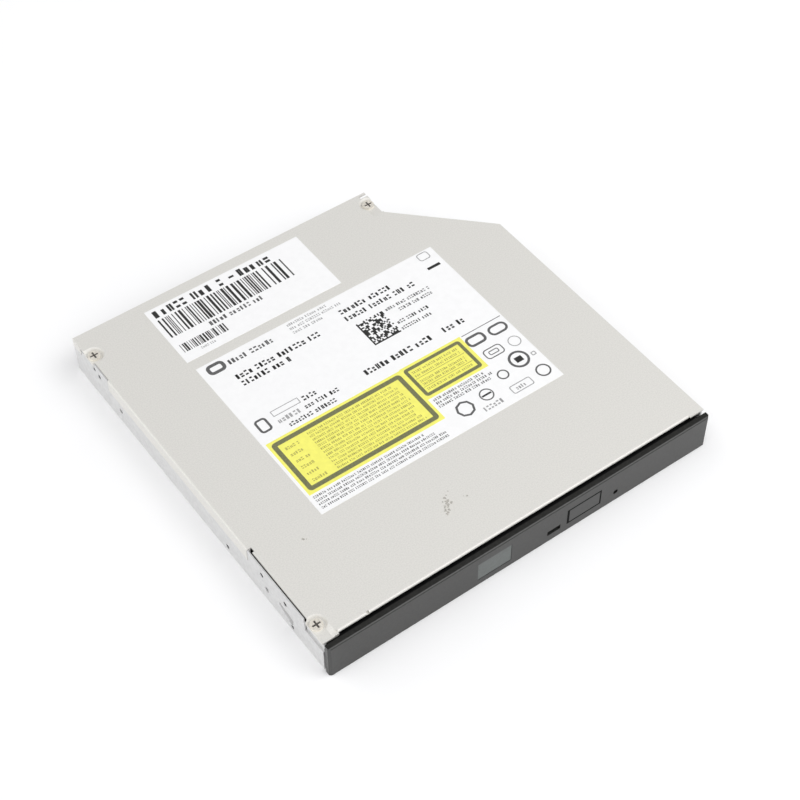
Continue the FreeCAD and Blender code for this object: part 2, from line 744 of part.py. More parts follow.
# Small board behind the bezel with the switch, and the emergency slider beside it.
small_board = Piece("tray_board")
board_left = tub_right - 47.0
board_right = tub_right - 13.0
small_board.pad("XY", [rect(board_left, 6.0, board_right, 15.0)], 2.2, 3.0)
for x in (board_left + 2.0, board_right - 2.0):
    small_board.pad("XY", [rect(x - 1.1, 12.3, x + 1.1, 14.5)], plate_top, 2.3)
small_board.pad("XY", [rect(board_left + 2.0, 10.8, board_left + 13.0, 13.6)], 2.9, 4.2)
small_board.pad("XY", [rect(lamp_left + 1.2, 6.8, lamp_left + 3.2, 8.2)], 2.9, 4.3)
for x in (hole_x - 2.4, hole_x + 1.4):
    small_board.pad("XY", [rect(x, 8.0, x + 1.0, 11.5)], 2.9, 4.4)
switch = Piece("eject_switch")
switch.pad("XY", [rect(button_middle - 3.0, 6.4, button_middle + 3.0, 9.6)], 3.0, 6.5)
slider = Piece("emergency_slider")
slider.pad("XY", [rect(hole_x - 1.3, 6.2, hole_x + 1.3, 12.6)], 3.1, 4.8)

# Sledge frame that carries the spindle and the two guide rods.
TURN = 225.0


def shifted(corners):
    """Places counted out from the spindle, moved so that all are positive."""
    return [(SHIFT + u, SHIFT + v) for u, v in corners]


frame_low = 2.0
frame_top = 7.2
middle_v = as_size(SHIFT)
rod_v = size["rod_offset"]
rod_z = size["rod_height"]
screw_v = size["screw_offset"]
rod_hole = size["rod_radius"] + 0.02
frame = Piece("traverse_frame", TURN)
frame.pad("XY", [lines(shifted(FRAME))], frame_low, frame_top)
window = [
    (15.0, -19.8),
    (reach - 11.5, -19.8),
    (reach - 3.0, -11.5),
    (reach - 3.0, 11.0),
    (reach - 15.0, 23.8),
    (15.0, 23.8),
]
frame.cut("XY", [lines(shifted(window))], frame_low - 0.1, frame_top + 0.1)
frame.cut("XY", [circle(middle_v, middle_v, 14.2)], 3.0, frame_top + 0.1)
frame.cut("XY", [rect(SHIFT + 5.6, middle_v + screw_v - 2.9, SHIFT + 15.1, middle_v + screw_v + 2.9)],
          rod_z - 2.7, frame_top + 0.1)
rod_holes = [
    circle(middle_v + rod_v, rod_z, rod_hole),
    circle(middle_v - rod_v, rod_z, rod_hole),
    circle(middle_v + screw_v, rod_z, 0.85),
]
frame.cut("YZ", rod_holes[:2], SHIFT + 12.8, SHIFT + (reach - 5.8))
frame.cut("YZ", rod_holes[2:], SHIFT + (reach - 16.0), SHIFT + (reach - 9.4))
for name, v in (("main_rod", middle_v + rod_v), ("sub_rod", middle_v - rod_v)):
    rod = Piece(name, TURN)
    rod.pad("YZ", [circle(v, rod_z, size["rod_radius"])], SHIFT + 13.0, SHIFT + (reach - 6.0))
motor = Piece("sledge_motor", TURN)
motor.pad("YZ", [circle(middle_v + screw_v, rod_z, 2.7)], SHIFT + 5.8, SHIFT + 15.0)
motor.cut("YZ", [circle(middle_v + screw_v, rod_z, 0.85)], SHIFT + 11.0, SHIFT + 15.1)
lead = Piece("lead_screw", TURN)
lead.pad("YZ", [circle(middle_v + screw_v, rod_z, size["lead_radius"])], SHIFT + 15.6, SHIFT + (reach - 15.2))
lead.pad("YZ", [circle(middle_v + screw_v, rod_z, 0.8)], SHIFT + 11.4, SHIFT + (reach - 9.6))
lid = Piece("traverse_cover", TURN)
lid.pad("XY", [lines(shifted(FRAME))], 8.0, 8.4)
lid_window = [
    (20.0, -8.0),
    (reach - 8.0, -8.0),
    (reach - 4.0, -5.0),
    (reach - 4.0, 5.0),
    (reach - 8.0, 8.0),
    (20.0, 8.0),
]
lid.cut("XY", [circle(middle_v, middle_v, 14.3)], 7.9, 8.5)
lid.cut("XY", [lines(shifted(lid_window))], 7.9, 8.5)
LEGS = [(-16.0, -21.5), (-16.0, 22.5), (reach - 16.0, -21.5), (reach - 20.0, 24.6)]
for u, v in LEGS:
    lid.pad("XY", [rect(SHIFT + u, SHIFT + v, SHIFT + u + 4.0, SHIFT + v + 1.2)], frame_top, 8.1)
DAMPERS = [("a", -13.0, -18.0), ("b", -13.0, 22.0), ("c", reach - 1.6, 0.0)]
for name, u, v in DAMPERS:
    damper = Piece("damper_" + name, TURN)
    damper.pad("XY", [octagon(SHIFT + u, SHIFT + v, 1.5)], plate_top, frame_low)

# Optical sledge with its bushes, its nut and the sprung lens.
lens_u = SHIFT + size["lens_start"]
sledge = Piece("pickup_sled", TURN)
body = [(15.5, -12.0), (28.0, -13.6), (33.0, -8.0), (33.0, 8.0), (28.0, 13.6), (15.5, 12.0)]
sledge.pad("XY", [lines(shifted(body))], 3.2, 7.0)
sledge.pad("YZ", [octagon(middle_v + rod_v, rod_z, 2.0)], SHIFT + 16.5, SHIFT + 25.5)
sledge.pad("XY", [rect(SHIFT + 17.0, SHIFT + 12.0, SHIFT + 25.0, middle_v + rod_v - 1.1)], 4.0, 6.0)
sub_edge = middle_v - rod_v - 2.1
sledge.pad("XY", [rect(SHIFT + 18.0, sub_edge, SHIFT + 24.0, SHIFT - 12.0)], 3.6, 6.4)
nut_v = middle_v + screw_v
nut_side = rect(nut_v - 1.9, rod_z - 1.9, nut_v + 1.9, rod_z + 1.9)
sledge.pad("YZ", [nut_side], SHIFT + 18.6, SHIFT + 21.4)
sledge.pad("XY", [rect(SHIFT + 18.6, middle_v + rod_v + 1.3, SHIFT + 21.4, nut_v - 1.4)], 4.3, 5.7)
bush_holes = [
    circle(middle_v + rod_v, rod_z, size["rod_radius"] + 0.05),
    circle(middle_v - rod_v, rod_z, size["rod_radius"] + 0.05),
]
sledge.cut("YZ", bush_holes, SHIFT + 15.0, SHIFT + 34.0)
nut_hole = circle(middle_v + screw_v, rod_z, size["lead_radius"] + 0.05)
sledge.cut("YZ", [nut_hole], SHIFT + 18.0, SHIFT + 22.0)
sledge.cut("XY", [circle(lens_u, middle_v, 2.8)], 5.8, 7.1)
holder = Piece("lens_holder", TURN)
holder.pad("XY", [circle(lens_u, middle_v, 2.4)], 6.2, 8.3)
holder.pad("XY", [rect(lens_u - 3.6, SHIFT - 4.4, lens_u + 4.2, SHIFT + 4.4)], 7.35, 7.9)
holder.cut("XY", [circle(lens_u, middle_v, 1.9)], 6.9, 8.4)
glass = Piece("lens", TURN)
glass.pad("XY", [circle(lens_u, middle_v, 1.9)], 6.9, 8.3)
glass.pad("XY", [circle(lens_u, middle_v, 1.5)], 8.2, 8.5)

# Spindle motor: base and stator stand still, the cup turns with its hub.
base = Piece("spindle_base")
base.pad("XY", [octagon(spindle_x, spindle_y, 13.0)], 3.0, 3.5)
base.pad("XY", [circle(spindle_x, spindle_y, 2.9)], 3.4, 7.4)
bore = circle(spindle_x, spindle_y, size["shaft_radius"] + 0.03)
base.cut("XY", [bore], 3.6, 7.5)
stator = Piece("spindle_stator")
teeth = []
for k in range(9):
    for radius, offset in ((7.6, 5.0), (11.6, 8.0), (11.6, 32.0), (7.6, 35.0)):
        turn = math.radians(40.0 * k + offset)
        teeth.append((spindle_x + radius * math.cos(turn), spindle_y + radius * math.sin(turn)))
stator.pad("XY", [lines(teeth), circle(spindle_x, spindle_y, 2.9)], 4.6, 6.6)
rotor = Piece("spindle_rotor")
rotor.pad("XY", [circle(spindle_x, spindle_y, size["rotor_radius"])], 4.2, size["rotor_top"])
rotor.cut("XY", [circle(spindle_x, spindle_y, size["rotor_radius"] - 0.8)], 4.1, 8.2)
rotor.pad("XY", [circle(spindle_x, spindle_y, size["shaft_radius"])], 3.7, 8.3)
ring = Piece("spindle_ring")
ring_loops = [circle(spindle_x, spindle_y, 12.9), circle(spindle_x, spindle_y, 9.4)]
ring.pad("XY", ring_loops, size["rotor_top"], size["rotor_top"] + 0.3)
hub = Piece("clamp_hub")
hub.pad("XY", [circle(spindle_x, spindle_y, size["hub_radius"])], size["rotor_top"], size["hub_top"])
CLAWS = [("a", 90.0), ("b", 210.0), ("c", 330.0)]
slots = []
for name, turn in CLAWS:
    across = math.cos(math.radians(turn))
    along = math.sin(math.radians(turn))
    spots = [(3.4, -1.6), (7.8, -1.6), (7.8, 1.6), (3.4, 1.6)]
    slots.append(lines([
        (spindle_x + (r * across - t * along), spindle_y + (r * along + t * across))
        for r, t in spots
    ]))
    claw = Piece("clamp_claw_" + name, turn)
    nose = SHIFT + size["hub_radius"] + 0.45
    claw_side = [
        (SHIFT + 4.0, 9.46),
        (nose - 0.95, 9.46),
        (nose, 10.4),
        (nose, 10.6),
        (nose - 0.85, size["hub_top"] - 0.15),
        (nose - 2.2, size["hub_top"] - 0.15),
        (nose - 2.5, 10.4),
        (SHIFT + 4.0, 10.4),
    ]
    claw.pad("XZ", [lines(claw_side)], SHIFT - 1.52, SHIFT + 1.52)
hub.cut("XY", slots, 9.4, size["hub_top"] + 0.1)
hub.cut("XY", [circle(spindle_x, spindle_y, 1.8)], size["hub_top"] - 0.5, size["hub_top"] + 0.1)

# Latch that holds the closed tray: bracket with its pin, solenoid and hooked lever.
latch = Piece("lock_base")
pin_x = spindle_x + 4.0
pin_y = depth - 14.0
latch.pad("XY", [rect(pin_x - 4.0, pin_y - 2.8, pin_x + 18.0, pin_y + 3.6)], 7.0, deck_low)
latch.pad("XY", [circle(pin_x, pin_y, 1.0)], 2.6, 7.1)
latch.pad("XY", [octagon(pin_x, pin_y, 1.8)], 2.2, 2.8)
coil = Piece("lock_solenoid")
coil.pad("XY", [rect(pin_x + 3.4, pin_y - 2.6, pin_x + 16.0, pin_y + 2.8)], 2.4, 7.0)
coil.pad("YZ", [octagon(pin_y + 0.9, 4.2, 0.7)], pin_x + 2.7, pin_x + 3.5)
lever = Piece("lock_lever")
lever.pad("XY", [rect(pin_x - 1.0, pin_y - 1.4, pin_x + 1.0, depth - 4.0)], 3.0, 5.0)
lever.pad("XY", [circle(pin_x, pin_y, 2.1)], 3.0, 6.0)
lever.pad("XY", [rect(pin_x + 0.5, depth - 5.4, pin_x + 5.4, depth - 4.0)], 3.0, 5.0)
lever.cut("XY", [circle(pin_x, pin_y, 1.05)], 2.9, 6.1)

document.recompute()
for item in document.Objects:
    if "Invalid" in item.State or "Error" in item.State:
        raise RuntimeError("%s did not build" % item.Label)
os.makedirs("parts", exist_ok=True)
for piece in pieces:
    shape = piece.body.Shape
    if shape.isNull() or not shape.isValid() or len(shape.Solids) != 1:
        raise RuntimeError("%s is not one valid solid" % piece.label)
    before = None
    for step in piece.body.Group:
        if step.TypeId == "PartDesign::Pocket" and before - step.Shape.Volume < 1e-4:
            raise RuntimeError("%s cuts nothing" % step.Label)
        if step.TypeId in ("PartDesign::Pad", "PartDesign::Pocket"):
            before = step.Shape.Volume
    shape.exportStep(os.path.join("parts", piece.label + ".step"))
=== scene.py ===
import bpy
import math
import random
from mathutils import Matrix, Vector


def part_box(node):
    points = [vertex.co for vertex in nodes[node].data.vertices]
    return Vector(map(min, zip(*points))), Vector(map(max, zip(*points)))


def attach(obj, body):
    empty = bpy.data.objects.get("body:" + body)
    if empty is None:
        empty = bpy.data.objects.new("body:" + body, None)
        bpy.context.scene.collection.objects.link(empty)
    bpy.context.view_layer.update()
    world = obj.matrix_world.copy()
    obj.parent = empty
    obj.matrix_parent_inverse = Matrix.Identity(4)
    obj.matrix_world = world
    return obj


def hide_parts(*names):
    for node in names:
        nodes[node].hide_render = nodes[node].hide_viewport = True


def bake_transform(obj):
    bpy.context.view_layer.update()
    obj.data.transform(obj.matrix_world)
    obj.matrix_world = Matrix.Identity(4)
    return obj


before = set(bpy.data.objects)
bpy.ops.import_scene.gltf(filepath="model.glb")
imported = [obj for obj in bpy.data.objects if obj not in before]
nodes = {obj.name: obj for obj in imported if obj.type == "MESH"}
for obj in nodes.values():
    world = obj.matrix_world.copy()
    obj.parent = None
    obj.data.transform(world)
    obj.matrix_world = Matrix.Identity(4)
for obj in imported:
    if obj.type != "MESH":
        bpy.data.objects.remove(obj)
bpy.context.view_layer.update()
MM = 0.001
HALF_WIDTH = 64.0
HALF_DEPTH = 65.0
SCREW_PLACES = ("front_left", "rear_left", "rear_right")


def place(x, y, z=0.0):
    """A point counted in millimetres from the drive's front left lower corner, in metres."""
    return Vector(((x - HALF_WIDTH) * MM, (y - HALF_DEPTH) * MM, z * MM))


# Materials
class Look:
    """A node-based material: one Principled shader with noise for tone, gloss and relief."""

    def __init__(self, name, colour, rough, metal=0.0, specular=0.5, coat=0.0):
        self.material = bpy.data.materials.new(name)
        self.material.use_nodes = True
        self.tree = self.material.node_tree
        self.shader = self.tree.nodes["Principled BSDF"]
        self.colour = colour
        self.rough = rough
        self.shader.inputs["Base Color"].default_value = (*colour, 1.0)
        self.shader.inputs["Roughness"].default_value = rough
        self.shader.inputs["Metallic"].default_value = metal
        self.shader.inputs["Specular IOR Level"].default_value = specular
        self.shader.inputs["Coat Weight"].default_value = coat
        self.coords = self.tree.nodes.new("ShaderNodeTexCoord").outputs["Object"]
        self.height = None

    def node(self, kind):
        """A new node in this material."""
        return self.tree.nodes.new(kind)

    def stretched(self, scale):
        """Coordinates stretched along some axis, for brushed or drawn grain."""
        mapping = self.node("ShaderNodeMapping")
        mapping.inputs["Scale"].default_value = scale
        self.tree.links.new(self.coords, mapping.inputs["Vector"])
        return mapping.outputs["Vector"]

    def noise(self, scale, detail=3.0, stretch=None):
        """Noise at a scale counted in cells per metre."""
        made = self.node("ShaderNodeTexNoise")
        made.inputs["Scale"].default_value = scale
        made.inputs["Detail"].default_value = detail
        source = self.coords if stretch is None else self.stretched(stretch)
        self.tree.links.new(source, made.inputs["Vector"])
        return made.outputs["Fac"]

    def ramp(self, fac, low, high, start=0.35, end=0.65):
        """A colour that runs from low to high as fac grows."""
        made = self.node("ShaderNodeValToRGB")
        made.color_ramp.elements[0].position = start
        made.color_ramp.elements[1].position = end
        made.color_ramp.elements[0].color = (*low, 1.0)
        made.color_ramp.elements[1].color = (*high, 1.0)
        self.tree.links.new(fac, made.inputs["Fac"])
        return made.outputs["Color"]

    def mottle(self, scale, amount, detail=3.0, stretch=None):
        """Lightens and darkens the base colour a little."""
        low = [c * (1.0 - amount) for c in self.colour]
        high = [min(1.0, c * (1.0 + amount)) for c in self.colour]
        colour = self.ramp(self.noise(scale, detail, stretch), low, high)
        self.tree.links.new(colour, self.shader.inputs["Base Color"])
        return self

    def gloss(self, scale, amount, stretch=None):
        """Varies the roughness over the surface."""
        span = self.node("ShaderNodeMapRange")
        span.inputs["To Min"].default_value = max(0.02, self.rough - amount)
        span.inputs["To Max"].default_value = min(1.0, self.rough + amount)
        self.tree.links.new(self.noise(scale, 2.0, stretch), span.inputs["Value"])
        self.tree.links.new(span.outputs["Result"], self.shader.inputs["Roughness"])
        return self

    def relief(self, scale, strength, depth, stretch=None, detail=4.0):
        """Fine bumps of a depth in metres, each laid over the last."""
        bump = self.node("ShaderNodeBump")
        bump.inputs["Strength"].default_value = strength
        bump.inputs["Distance"].default_value = depth
        self.tree.links.new(self.noise(scale, detail, stretch), bump.inputs["Height"])
        if self.height is not None:
            self.tree.links.new(self.height, bump.inputs["Normal"])
        self.height = bump.outputs["Normal"]
        self.tree.links.new(self.height, self.shader.inputs["Normal"])
        return self


cover_look = Look("cover_sheet", (0.715, 0.703, 0.665), 0.5, metal=0.2)
cover_look.mottle(2600.0, 0.045).gloss(1500.0, 0.08).relief(3200.0, 0.35, 0.00003)
wall_look = Look("wall_sheet", (0.645, 0.645, 0.64), 0.42, metal=0.3)
wall_look.mottle(900.0, 0.05, stretch=(0.15, 1.0, 1.0)).relief(2600.0, 0.25, 0.00003)
screw_look = Look("nickel_screw", (0.80, 0.76, 0.68), 0.42, metal=0.3)
screw_look.mottle(2500.0, 0.12).relief(3500.0, 0.3, 0.00003)
steel_look = Look("polished_steel", (0.66, 0.66, 0.66), 0.16, metal=1.0)
steel_look.gloss(1500.0, 0.06).mottle(900.0, 0.05)
zinc_look = Look("zinc_sheet", (0.50, 0.51, 0.52), 0.36, metal=0.9)
zinc_look.mottle(500.0, 0.12).gloss(900.0, 0.1).relief(1800.0, 0.2, 0.00003, stretch=(1.0, 0.1, 1.0))
cast_look = Look("die_cast", (0.34, 0.34, 0.35), 0.5, metal=0.85)
cast_look.mottle(700.0, 0.15).relief(2000.0, 0.5, 0.00006)
white_look = Look("label_white", (0.87, 0.87, 0.87), 0.4)
white_look.mottle(500.0, 0.012).relief(700.0, 0.12, 0.00003)
yellow_look = Look("label_yellow", (0.86, 0.83, 0.17), 0.4)
yellow_look.mottle(600.0, 0.03).relief(700.0, 0.12, 0.00003)
plastic_look = Look("dark_plastic", (0.007, 0.007, 0.0075), 0.5, specular=0.25)
plastic_look.mottle(800.0, 0.2).gloss(600.0, 0.08).relief(3000.0, 0.5, 0.00004)
bezel_look = Look("bezel_plastic", (0.020, 0.020, 0.0185), 0.30, specular=0.5)
bezel_look.mottle(1200.0, 0.2).gloss(900.0, 0.05).relief(4200.0, 0.25, 0.00003)
button_look = Look("button_plastic", (0.022, 0.022, 0.021), 0.30, specular=0.5)
button_look.mottle(1200.0, 0.15).relief(4200.0, 0.2, 0.00003)
patch_look = Look("bezel_patch", (0.100, 0.110, 0.106), 0.45)
patch_look.mottle(1500.0, 0.08).relief(4200.0, 0.3, 0.00003)
lamp_look = Look("lamp_plastic", (0.004, 0.004, 0.004), 0.3, specular=0.2)
lamp_look.mottle(1500.0, 0.08)
board_look = Look("circuit_board", (0.010, 0.115, 0.050), 0.32, coat=0.4)
board_look.relief(900.0, 0.4, 0.00005)
chip_look = Look("chip_black", (0.018, 0.018, 0.019), 0.55)
chip_look.mottle(1500.0, 0.2).relief(3500.0, 0.4, 0.00003)
socket_look = Look("socket_cream", (0.62, 0.57, 0.44), 0.45)
socket_look.mottle(900.0, 0.06).relief(2500.0, 0.3, 0.00003)
gold_look = Look("contact_gold", (0.86, 0.62, 0.24), 0.22, metal=1.0)
gold_look.mottle(1500.0, 0.08)
flex_look = Look("flex_tan", (0.42, 0.22, 0.06), 0.3, coat=0.3)
flex_look.relief(700.0, 0.2, 0.00004)
rubber_look = Look("rubber_black", (0.018, 0.018, 0.018), 0.8)
rubber_look.mottle(1500.0, 0.2).relief(2500.0, 0.5, 0.00005)
glass_look = Look("lens_glass", (0.55, 0.66, 0.92), 0.04, coat=0.5)
glass_look.mottle(300.0, 0.06)
glass_look.shader.inputs["Transmission Weight"].default_value = 0.85
copper_look = Look("copper_wire", (0.72, 0.30, 0.12), 0.3, metal=0.9)
copper_look.mottle(2500.0, 0.2).relief(3500.0, 0.6, 0.0001, stretch=(1.0, 1.0, 0.1))
ink_look = Look("ink_black", (0.022, 0.022, 0.021), 0.5)
ink_look.mottle(2500.0, 0.25)
grey_ink_look = Look("ink_grey", (0.105, 0.105, 0.105), 0.5)
grey_ink_look.mottle(2500.0, 0.2)
pale_ink_look = Look("ink_pale", (0.34, 0.34, 0.34), 0.5)
pale_ink_look.mottle(2500.0, 0.15)
olive_ink_look = Look("ink_olive", (0.165, 0.170, 0.085), 0.5)
olive_ink_look.mottle(2000.0, 0.12)
thin_olive_look = Look("ink_thin_olive", (0.42, 0.39, 0.10), 0.5)
thin_olive_look.mottle(2000.0, 0.12)
# Painted shade: a near-black sheet for the gap round the button and the insides of the wall holes
shade_look = Look("recess_shade", (0.004, 0.004, 0.004), 0.8, specular=0.1)
shade_look.mottle(1500.0, 0.2)
# Painted shade for the floors of the screw recesses, not the screw's own colour
recess_shade_look = Look("screw_recess_painted_shade", (0.085, 0.078, 0.07), 0.7, specular=0.2)
recess_shade_look.mottle(2500.0, 0.2)
smudge_look = Look("smudge", (0.42, 0.40, 0.36), 0.6)
smudge_look.mottle(2600.0, 0.2)


def traces(look, copper, scale):
    """Fine straight copper runs seen through the solder mask."""
    brick = look.node("ShaderNodeTexBrick")
    brick.inputs["Color1"].default_value = (*look.colour, 1.0)
    brick.inputs["Color2"].default_value = (*[c * 1.25 for c in look.colour], 1.0)
    brick.inputs["Mortar"].default_value = (*copper, 1.0)
    brick.inputs["Scale"].default_value = scale
    brick.inputs["Mortar Size"].default_value = 0.012
    look.tree.links.new(look.coords, brick.inputs["Vector"])
    look.tree.links.new(brick.outputs["Color"], look.shader.inputs["Base Color"])


traces(board_look, (0.10, 0.26, 0.10), 420.0)
traces(flex_look, (0.60, 0.36, 0.14), 500.0)

NODE_LOOKS = {
    cover_look: ["top_cover"],
    wall_look: ["bottom_case"],
    screw_look: ["cover_screw_" + place_name for place_name in SCREW_PLACES],
    steel_look: ["main_rod", "sub_rod", "spindle_rotor", "lead_screw"],
    zinc_look: ["left_slide_rail", "right_slide_rail",
                "tray_bottom_plate", "traverse_cover", "sledge_motor", "spindle_base",
                "lock_base", "lock_solenoid"],
    cast_look: ["traverse_frame", "pickup_sled"],
    white_look: ["small_label", "main_label"],
    yellow_look: ["label_fields"],
    plastic_look: ["disc_tray", "emergency_slider", "clamp_hub", "clamp_claw_a", "clamp_claw_b",
                   "clamp_claw_c", "lock_lever", "rear_connector", "left_fixed_rail",
                   "right_fixed_rail"],
    bezel_look: ["bezel"],
    button_look: ["eject_button"],
    lamp_look: ["light_pipe"],
    board_look: ["main_board", "tray_board"],
    chip_look: ["main_controller", "memory_chip", "eject_switch", "lens_holder"],
    socket_look: ["flex_socket"],
    gold_look: ["connector_contacts"],
    flex_look: ["flex_cable"],
    rubber_look: ["spindle_ring", "damper_a", "damper_b", "damper_c"],
    glass_look: ["lens"],
    copper_look: ["spindle_stator"],
}
for look, names in NODE_LOOKS.items():
    for name in names:
        node = nodes[name]
        for slot in node.material_slots:
            slot.material = look.material


# Rolled sheet edges and moulded edges that catch the light
EDGE_WIDTHS = {"top_cover": 0.12, "bottom_case": 0.08, "bezel": 0.10, "eject_button": 0.10}
EDGE_WIDTHS.update({"cover_screw_" + place_name: 0.10 for place_name in SCREW_PLACES})
for name, width in EDGE_WIDTHS.items():
    rounding = nodes[name].modifiers.new("rounded_edges", "BEVEL")
    rounding.width = width * MM
    rounding.segments = 2
    rounding.limit_method = "ANGLE"
    rounding.angle_limit = math.radians(35.0)


# Pieces made here
def linked(name, points, faces, look):
    """One mesh object in the scene, from points in metres and faces that count them."""
    mesh = bpy.data.meshes.new(name)
    mesh.from_pydata(points, [], faces)
    mesh.update()
    mesh.materials.append(look.material)
    made = bpy.data.objects.new(name, mesh)
    bpy.context.scene.collection.objects.link(made)
    return made


def flat_piece(name, shapes, look, body):
    """One object that rides on a body, from flat shapes that are each a list of points."""
    points = []
    faces = []
    for shape in shapes:
        faces.append(list(range(len(points), len(points) + len(shape))))
        points.extend(shape)
    piece = linked(name, points, faces, look)
    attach(piece, body)


# Print on the labels: bars, blocks and plain shapes, all sizes in millimetres
INK_Z = 12.78
NARROW = 0.5
MIDDLE = 0.55
WIDE = 0.62
rng = random.Random(7)


def block(x0, y0, x1, y1, lift=0.0):
    """A flat rectangle just over the label."""
    z = INK_Z + lift
    return [place(x0, y0, z), place(x1, y0, z), place(x1, y1, z), place(x0, y1, z)]


def single(*corners):
    """One block as a list of shapes."""
    return [block(*corners)]


def outline(x0, y0, x1, y1, line, radius=0.0, lift=0.0, steps=5):
    """A rectangular line with rounded corners, as a strip of faces."""
    z = INK_Z + lift
    loops = []
    for inset in (0.0, line):
        r = max(0.02, radius - inset)
        loop = []
        for cx, cy, start in (
                (x1 - inset - r, y1 - inset - r, 0.0), (x0 + inset + r, y1 - inset - r, 90.0),
                (x0 + inset + r, y0 + inset + r, 180.0), (x1 - inset - r, y0 + inset + r, 270.0)):
            for k in range(steps + 1):
                turn = math.radians(start + 90.0 * k / steps)
                loop.append(place(cx + r * math.cos(turn), cy + r * math.sin(turn), z))
        loops.append(loop)
    outer, inner = loops
    strip = []
    for k in range(len(outer)):
        after = (k + 1) % len(outer)
        if (outer[after] - outer[k]).length > 0.001 * MM:
            strip.append([outer[k], outer[after], inner[after], inner[k]])
    return strip


def ring(x, y, radius, line, steps=32):
    """A round line."""
    return outline(x - radius, y - radius, x + radius, y + radius, line, radius, 0.0, steps // 4)


def words(x0, x1, y, height, share=WIDE):
    """A row of small whole and split blocks in runs of three to eight."""
    shapes = []
    line = height * 0.24
    x = x0
    while x < x1 - 0.2:
        for _ in range(rng.randint(3, 8)):
            wide = height * share * rng.uniform(0.75, 1.1)
            if x + wide > x1:
                break
            low = y - height / 2
            top = low + height * rng.choice((1.0, 1.0, 0.78))
            form = rng.choice(("whole", "upright", "level", "level"))
            if form == "whole":
                shapes.append(block(x, low, x + wide * 0.7, top))
            elif form == "upright":
                shapes.append(block(x, low, x + line, top))
                shapes.append(block(x + wide - line, low, x + wide, top))
            else:
                shapes.append(block(x, low, x + wide, low + line * 1.3))
                shapes.append(block(x, top - line * 1.3, x + wide, top))
            x += wide + height * 0.26
        x += height * 0.5
    return shapes


def rows(ends, x0, y, step, height, share=WIDE):
    """Rows of words below each other, each up to its own end."""
    shapes = []
    for k, x1 in enumerate(ends):
        shapes += words(x0, x1, y - step * k, height, share)
    return shapes


def bars(x0, x1, y0, y1, unit):
    """Upright bars of random widths."""
    shapes = []
    x = x0
    while x < x1 - unit:
        wide = unit * rng.choice((1, 1, 1, 2, 2, 3))
        shapes.append(block(x, y0, min(x + wide, x1), y1))
        x += wide + unit * rng.choice((1, 1, 2, 2, 3))
    return shapes


def cells(x0, y0, x1, y1, count):
    """A square of random dark cells with two solid sides."""
    shapes = []
    step_x = (x1 - x0) / count
    step_y = (y1 - y0) / count
    for i in range(count):
        for j in range(count):
            if i == 0 or j == 0 or rng.random() < 0.47:
                shapes.append(block(x0 + i * step_x, y0 + j * step_y,
                                    x0 + (i + 1) * step_x, y0 + (j + 1) * step_y))
    return shapes


